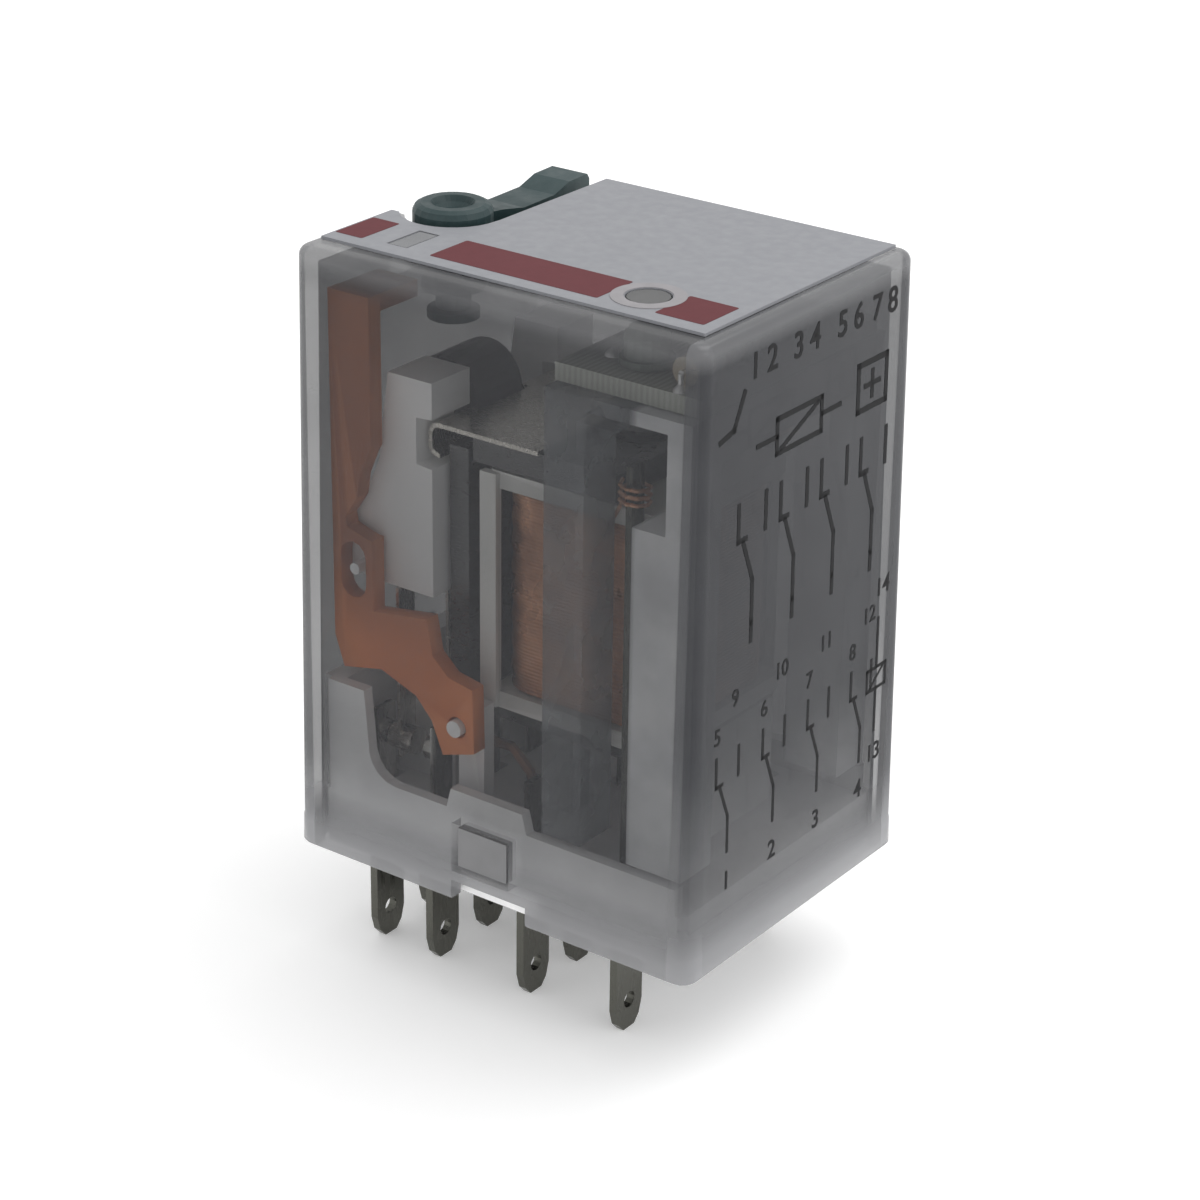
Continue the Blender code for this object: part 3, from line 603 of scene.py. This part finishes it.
def make_cover():
    rings = [cover_ring(0.12, 0.9, 0), cover_ring(0.0, 1.0, 0.15)]
    rings.append(cover_ring(0.03, 1.0, 1.7))
    rings.append(cover_ring(0.06, 1.0, 1.76))
    for step in range(9):
        angle = math.radians(90 * step / 8)
        inset = DRAFT + 0.6 * (1 - math.cos(angle))
        z = TOP - 0.6 + 0.6 * math.sin(angle)
        rings.append(cover_ring(inset, 1.0 - 0.6 * (1 - math.cos(angle)), z))
    cover = shape("cover_shell", loft, rings)

    mouth, ceiling = cover_ring(WALL, 0.4, -1), cover_ring(WALL + DRAFT, 0.4, TOP - 1)
    hollow = shape("tool", loft, [mouth, ceiling])
    floor = TOP - NOTCH_DEPTH
    carve(hollow, prism, "z", notch_outline(WALL - 0.1), (floor - WALL, TOP + 2))
    apply_boolean(cover, hollow)
    carve(cover, prism, "z", notch_outline(0), (floor, TOP + 1))
    carve(cover, rod, "z", LEVER, 1.2, (floor - 2, floor + 1))
    for wall in ((-0.5, WALL + 0.3), (WIDTH - WALL - 0.3, WIDTH + 0.5)):
        carve(cover, box, (11.4, 15.4), wall, (1.8, 4.8))
        carve(cover, box, (11.4, 16.6), wall, (-0.5, 1.2))
    carve(cover, rod, "x", (0.6 * WIDTH, 9.6), 0.35, (-0.15, 0.5), operation="UNION")
    dress(cover, MAT["clear"])
    cover.data.materials.append(MAT["clear_side"])
    for face in cover.data.polygons:
        outermost = face.center.x > (HALF_LENGTH - 0.6) * MM
        face.material_index = int(face.normal.x > 0.6 and outermost)
    soften(cover, 0.08, angle=50)
    piece(cover, None, replaces=["cover"])


# ---------------------------------------------------------------- top plate


def make_plate():
    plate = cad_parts["label_plate"]
    dress(plate, MAT["plate"])
    soften(plate, 0.03)
    low, high = PLATE_TOP, PLATE_TOP + 0.015
    for i, (x0, x1) in enumerate(((1.25, 3.1), (7.75, 18.7), (22.3, 25.3)), 1):
        outline = rounded((x0, x1), (3.1, 6.3), 0.1, 2)
        stripe = shape(f"red_stripe_{i}", prism, "z", outline, (low, high))
        piece(stripe, MAT["red"])

    bm = bmesh.new()
    outer, inner = (arc(LAMP, radius, 0, 360, 48)[:-1] for radius in (2.0, 1.3))
    crest = high + 0.02
    rows = []
    for ring, z in ((outer, low), (outer, crest), (inner, crest), (inner, low)):
        rows.append([bm.verts.new((x, y, z)) for x, y in ring])
    for a, b in zip(rows, rows[1:] + rows[:1]):
        for i in range(len(a)):
            bm.faces.new((a[i - 1], a[i], b[i], b[i - 1]))
    piece(finish_mesh("light_ring", bm), MAT["white_ink"])

    for name, look in (("led_window", "lens"), ("indicator_window", "window")):
        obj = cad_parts[name]
        dress(obj, MAT[look])
        soften(obj, 0.03)


# ---------------------------------------------------------------- inner pieces


def make_rocker():
    """The orange rocker, its arm waisted where the spring block bulges beside it."""
    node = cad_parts["indicator_rocker"]
    rocker = bpy.data.objects.new("rocker_arm", node.data.copy())
    rocker.matrix_world = node.matrix_world
    bpy.context.scene.collection.objects.link(rocker)
    waist = [(5.0, 25.6), (4.2, 24.4), (3.55, 22.9), (3.35, 21.6)]
    waist += [(2.5, 20.3), (2.6, 19.7), (4.0, 19.3), (5.0, 19.2)]
    carve(rocker, prism, "y", waist, (1.0, 4.0))
    soften(rocker, 0.12)
    piece(rocker, MAT["orange"], "indicator", ["indicator_rocker"])


def make_winding():
    """Turns of wire wound on the bobbin, as a scalloped skin."""
    low, high = (value.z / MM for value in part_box("winding"))
    turns = 56
    step = (high - low) / turns
    rings = []
    x, y = ((middle - WINDING_HALF, middle + WINDING_HALF) for middle in COIL)
    for turn in range(turns):
        for share, inset in ((0.0, 0.09), (0.2, 0.025), (0.5, 0.0), (0.8, 0.025)):
            edge = inset + 0.03 * math.sin(0.9 * turn)
            inside = (x[0] + edge, x[1] - edge), (y[0] + edge, y[1] - edge)
            ring = rounded(*inside, WINDING_ROUND, 6)
            rings.append([(a, b, low + (turn + share) * step) for a, b in ring])
    winding = shape("winding_turns", loft, rings)
    carve(winding, rod, "z", COIL, 3.75, (low - 1, high + 1))
    winding.data.shade_smooth()
    piece(winding, MAT["wire"], replaces=["winding"])


def solder_joint(bm, x, y, z, radius):
    profile = [(radius, z), (0.8 * radius, z + 0.18), (0.3 * radius, z + 0.42), (0.05, z + 0.5)]
    turned(bm, (x, y), profile, 16)


def bent_lead(bm, points, radius=0.16):
    """A round wire through the points."""
    for (x0, y0, z0), (x1, y1, z1) in zip(points, points[1:]):
        a, b = Vector((x0, y0, z0)), Vector((x1, y1, z1))
        turn = (b - a).to_track_quat("Z", "Y").to_matrix()
        rows = []
        for end in (a, b):
            ring = [turn @ Vector((u, v, 0)) + end for u, v in arc((0, 0), radius, 0, 330, 11)]
            rows.append([bm.verts.new(point) for point in ring])
        bm.faces.new(rows[0])
        bm.faces.new(rows[1])
        for i in range(12):
            bm.faces.new((rows[0][i - 1], rows[0][i], rows[1][i], rows[1][i - 1]))


def corner_mm(name):
    """A node's box in corner millimetres."""
    low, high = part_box(name)
    shift = Vector((HALF_LENGTH, HALF_WIDTH, 0))
    return low / MM + shift, high / MM + shift


def make_board_details():
    top = corner_mm("light_board")[1].z
    joints, leads = bmesh.new(), bmesh.new()
    for name in ("resistor", "diode"):
        low, high = corner_mm(name)
        x, z = (low.x + high.x) / 2, (low.z + high.z) / 2
        for end, out in ((low.y, -0.35), (high.y, 0.35)):
            bent_lead(leads, [(x, end, z), (x, end + out, z), (x, end + out, top)])
            solder_joint(joints, x, end + out, top, 0.44)
    lamp_low, lamp_high = corner_mm("led")
    for x in (lamp_low.x - 0.7, lamp_high.x + 0.7):
        solder_joint(joints, x, (lamp_low.y + lamp_high.y) / 2, top, 0.45)
    piece(finish_mesh("board_solder", joints), MAT["solder"])
    piece(finish_mesh("component_leads", leads), MAT["solder"])

    low, high = corner_mm("resistor")
    x, z = (low.x + high.x) / 2, (low.z + high.z) / 2
    radius = (high.z - low.z) / 2
    bands = ((0.22, "orange"), (0.42, "dark"), (0.62, "wire"), (0.84, "silver"))
    for i, (share, look) in enumerate(bands, 1):
        y = low.y + share * (high.y - low.y)
        band = shape(f"resistor_band_{i}", rod, "y", (x, z), radius + 0.02, (y - 0.2, y + 0.2))
        band.data.shade_smooth()
        piece(band, MAT[look])


# ---------------------------------------------------------------- side print


def print_strokes(bm, strokes, width):
    """Flat bars between (y, z) points on the printed side."""
    for (y0, z0), (y1, z1) in strokes:
        along = Vector((0, y1 - y0, z1 - z0)).normalized() * width / 2
        across = Vector((0, -along.z, along.y))
        a, b = Vector((0, y0, z0)) - along, Vector((0, y1, z1)) + along
        rows = []
        for lift_off in (0.0, 0.02):
            ring = (a - across, b - across, b + across, a + across)
            rows.append([bm.verts.new((side_x(p.z) + lift_off, p.y, p.z)) for p in ring])
        bm.faces.new(rows[0])
        bm.faces.new(rows[1])
        for i in range(4):
            bm.faces.new((rows[0][i - 1], rows[0][i], rows[1][i], rows[1][i - 1]))


def side_x(z):
    """The x of the printed side at a height."""
    if z < 1.7:
        return LENGTH
    return LENGTH - 0.06 - (DRAFT - 0.06) * (z - 1.76) / (TOP - 0.6 - 1.76)


def contact_symbol(y, z, s):
    """A changeover contact of scale s: two stems, a slanted arm."""
    return [
        ((y, z), (y, z + 2.0 * s)),
        ((y, z + 2.0 * s), (y - 0.75 * s, z + 3.9 * s)),
        ((y - 1.1 * s, z + 4.0 * s), (y - 1.1 * s, z + 5.6 * s)),
        ((y - 1.1 * s, z + 4.0 * s), (y - 0.55 * s, z + 4.0 * s)),
        ((y + 0.9 * s, z + 4.0 * s), (y + 0.9 * s, z + 5.6 * s)),
    ]


def box_symbol(y, z, half, tall):
    return [
        ((y - half, z), (y + half, z)),
        ((y + half, z), (y + half, z + tall)),
        ((y + half, z + tall), (y - half, z + tall)),
        ((y - half, z + tall), (y - half, z)),
    ]


def digits(name, text, y, z, size):
    """Numerals standing on the printed side, centred on y."""
    curve = bpy.data.curves.new(name, "FONT")
    curve.body = text
    curve.size = size * 1.35 * MM
    curve.align_x = "CENTER"
    curve.extrude = 0.015 * MM
    curve.offset = 0.018 * size * MM
    made = bpy.data.objects.new(name, curve)
    lean = math.atan2(DRAFT, TOP)
    turn = Matrix.Rotation(-lean, 4, "Y") @ Matrix.Rotation(math.radians(90), 4, "Z")
    turn = turn @ Matrix.Rotation(math.radians(90), 4, "X")
    bpy.context.scene.collection.objects.link(made)
    graph = bpy.context.evaluated_depsgraph_get()
    mesh = bpy.data.meshes.new_from_object(made.evaluated_get(graph))
    bpy.data.objects.remove(made, do_unlink=True)
    mesh.transform(Matrix.Translation(at(side_x(z) + 0.005, y, z)) @ turn)
    obj = bpy.data.objects.new(name, mesh)
    bpy.context.scene.collection.objects.link(obj)
    return obj


def make_side_print():
    bm = bmesh.new()
    for pole in POLES:
        print_strokes(bm, contact_symbol(pole - 0.4, 6.9, 1.05), 0.22)
    print_strokes(bm, box_symbol(COIL_MARK, 10.9, 0.95, 1.3), 0.2)
    for span in ((8.3, 10.9), (12.2, 15.2)):
        print_strokes(bm, [[(COIL_MARK, z) for z in span]], 0.2)
    print_strokes(bm, [((17.6, 11.0), (19.0, 12.1))], 0.16)
    piece(finish_mesh("print_small_diagram", bm), MAT["black"])

    bm = bmesh.new()
    for y in (5.4 + 3.9 * i for i in range(4)):
        print_strokes(bm, contact_symbol(y, 19.6, 1.25), 0.3)
        print_strokes(bm, [((y, 18.6), (y, 19.6))], 0.3)
    print_strokes(bm, [((2.2, 30.6), (3.4, 30.9)), ((3.4, 30.9), (4.3, 32.7))], 0.32)
    print_strokes(bm, box_symbol(9.5, 28.4, 2.1, 1.9), 0.3)
    leads = [((5.6, 29.35), (7.4, 29.35)), ((11.6, 29.35), (13.4, 29.35))]
    print_strokes(bm, [((7.8, 28.6), (11.2, 30.1)), *leads], 0.28)
    print_strokes(bm, box_symbol(16.6, 28.3, 1.4, 2.6), 0.34)
    print_strokes(bm, [((15.9, 29.6), (17.3, 29.6)), ((16.6, 28.9), (16.6, 30.3))], 0.3)
    piece(finish_mesh("print_large_diagram", bm), MAT["black"])

    rows = (
        (4.6, 1.15, [(y - 0.4, str(n)) for y, n in zip(POLES, (1, 2, 3, 4))]),
        (13.6, 1.0, [(y - 1.5, str(n)) for y, n in zip(POLES, (5, 6, 7, 8))]),
        (15.3, 1.0, [(y + 0.1, str(n)) for y, n in zip(POLES, (9, 10, 11, 12))]),
        (6.4, 1.1, [(COIL_MARK, "13")]),
        (16.6, 1.1, [(18.6, "14")]),
    )
    for z, size, numbers in rows:
        for y, text in numbers:
            number = digits(f"print_number_{text}", text, y, z, size)
            piece(number, MAT["black"])
    top_row = ((6.0, "1 2"), (10.0, "3 4"), (14.2, "5 6"), (17.6, "7 8"))
    for i, (y, text) in enumerate(top_row, 1):
        row = digits(f"print_row_{i}", text, y, 33.2 - 0.02 * i, 1.5)
        piece(row, MAT["black"])


# ---------------------------------------------------------------- camera, light


def look_at(obj, target, roll=0.0):
    direction = Vector(target) - obj.location
    turn = direction.to_track_quat("-Z", "Y").to_matrix()
    turn = turn @ Matrix.Rotation(math.radians(roll), 3, "Z")
    obj.rotation_euler = turn.to_euler()


def area_light(name, location, size, watts):
    data = bpy.data.lights.new(name, "AREA")
    data.size = size
    data.energy = watts
    light = bpy.data.objects.new(name, data)
    light.location = location
    bpy.context.scene.collection.objects.link(light)
    look_at(light, (0, 0, 0.02))


def make_stage():
    scene = bpy.context.scene
    scene.view_settings.view_transform = "Standard"
    world = bpy.data.worlds.new("Studio")
    world.use_nodes = True
    sky = world.node_tree.nodes["Background"]
    sky.inputs["Color"].default_value = (1, 1, 1, 1)
    sky.inputs["Strength"].default_value = 0.89
    scene.world = world

    floor = shape("floor", box, (-2000, 2000), (-2000, 2000), (BLADE_TIP - 1.0, BLADE_TIP))
    shader = Shader("pale_floor", (0.93, 0.93, 0.93), 0.8)
    tone = shader.mix(shader.noise(0.02), (0.92, 0.92, 0.92), (0.94, 0.94, 0.94))
    shader.feed("Base Color", tone)
    shader.set("Emission Color", (1, 1, 1, 1))
    shader.set("Emission Strength", 0.22)
    dress(floor, shader.material)

    area_light("key", (0.10, 0.12, 0.32), 0.25, 0.35)
    area_light("side", (0.32, 0.02, 0.12), 0.2, 0.12)

    camera = bpy.data.objects.new("camera", bpy.data.cameras.new("camera"))
    camera.data.lens = 96.03
    camera.data.sensor_width = 36.0
    camera.data.clip_start = 0.01
    camera.location = (0.09599, -0.13230, 0.08953)
    scene.collection.objects.link(camera)
    look_at(camera, (0.00028, -0.0004, 0.01548), roll=0.83)
    scene.camera = camera


dress_frame()
make_cover()
make_plate()
make_rocker()
make_winding()
make_board_details()
make_side_print()
for name, look in (("test_lever", "teal"), ("led", "led"), ("resistor", "lacquer")):
    dress(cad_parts[name], MAT[look])
    soften(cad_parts[name], 0.1)
make_stage()
